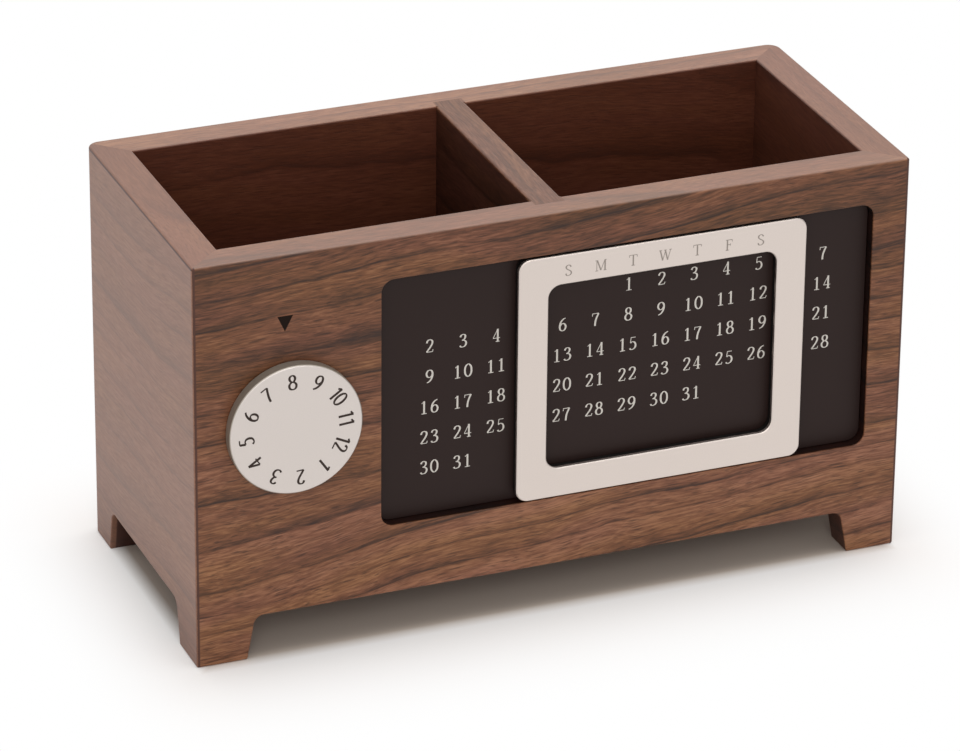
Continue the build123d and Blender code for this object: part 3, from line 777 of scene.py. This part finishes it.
# how far a point of the floor is outside the object's own footprint
halfSize = ((cadBox[1][0] - cadBox[0][0]) / 2, (cadBox[1][1] - cadBox[0][1]) / 2, 1)
beyond = addNode(tree, "ShaderNodeVectorMath", {0: place}, operation="ABSOLUTE")
beyond = addNode(tree, "ShaderNodeVectorMath", {0: beyond, 1: halfSize}, operation="SUBTRACT")
flat = addNode(tree, "ShaderNodeSeparateXYZ", {0: beyond}).outputs
edge = addNode(tree, "ShaderNodeMath", {0: flat[0], 1: flat[1]}, operation="MAXIMUM")
under = addNode(tree, "ShaderNodeMapRange", {"Value": edge, "From Min": 0.0, "From Max": -stage["contactEdge"]})
clear = addNode(tree, "ShaderNodeMath", {0: 1.0, 1: under.outputs["Result"]}, operation="SUBTRACT")
beyond = addNode(tree, "ShaderNodeVectorMath", {0: beyond, 1: (0, 0, 0)}, operation="MAXIMUM")
beyond = addNode(tree, "ShaderNodeVectorMath", {0: beyond, 1: (stage["sideways"], 1, 1)}, operation="MULTIPLY")
away = addNode(tree, "ShaderNodeVectorMath", {0: beyond}, operation="LENGTH").outputs["Value"]
fade = addNode(tree, "ShaderNodeMapRange", {
    "Value": away, "From Min": stage["shadowReach"][0], "From Max": stage["shadowReach"][1]},
    interpolation_type="SMOOTHSTEP")
# painted shadow: the floor's colour turns darker and warmer under the object's footprint
shadowedPaperColor = addNode(tree, "ShaderNodeMix", {
    "Factor": under.outputs["Result"], 6: stage["floorColor"], 7: stage["contactShadowTint"]}, data_type="RGBA").outputs[2]
paper = addNode(tree, "ShaderNodeBsdfDiffuse", {"Color": shadowedPaperColor})
# the camera and the metal see the floor turn white beyond the shadow
white = addNode(tree, "ShaderNodeEmission", {"Color": (1, 1, 1, 1), "Strength": 1.0})
rays = addNode(tree, "ShaderNodeLightPath").outputs
share = addNode(tree, "ShaderNodeMath", {0: rays["Is Camera Ray"], 1: rays["Is Glossy Ray"]}, operation="MAXIMUM")
for part in (fade.outputs["Result"], clear):
    share = addNode(tree, "ShaderNodeMath", {0: share, 1: part}, operation="MULTIPLY")
mixed = addNode(tree, "ShaderNodeMixShader", {0: share, 1: paper.outputs[0], 2: white.outputs[0]})
addNode(tree, "ShaderNodeOutputMaterial", {"Surface": mixed.outputs[0]})
floorMesh.materials.append(material)

world = bpy.data.worlds.new("studio")
bpy.context.scene.world = world
world.use_nodes = True
tree = world.node_tree
tree.nodes.clear()
rays = addNode(tree, "ShaderNodeLightPath").outputs
seen = addNode(tree, "ShaderNodeMath", {0: rays["Is Camera Ray"], 1: rays["Is Glossy Ray"]}, operation="MAXIMUM")
seen = addNode(tree, "ShaderNodeMath", {0: seen, 1: rays["Is Transmission Ray"]}, operation="MAXIMUM")
strength = addNode(tree, "ShaderNodeMapRange", {"Value": seen, "To Min": stage["worldLight"], "To Max": 1.0})
sky = addNode(tree, "ShaderNodeBackground", {"Color": (1, 1, 1, 1), "Strength": strength.outputs["Result"]})
addNode(tree, "ShaderNodeOutputWorld", {"Surface": sky.outputs[0]})

for name in ("topSoftbox", "frontSoftbox"):
    lampPlace, power = stage[name]
    lamp = bpy.data.lights.new(name, "AREA")
    lamp.shape = "SQUARE"
    lamp.size = stage["boxSize"]
    lamp.energy = power
    softbox = bpy.data.objects.new(name, lamp)
    softbox.location = lampPlace
    aim = Vector(stage["boxAim"]) - Vector(lampPlace)
    softbox.rotation_euler = aim.to_track_quat("-Z", "Y").to_euler()
    bpy.context.scene.collection.objects.link(softbox)
bpy.context.scene.view_settings.view_transform = "Standard"
print("stage and light set")
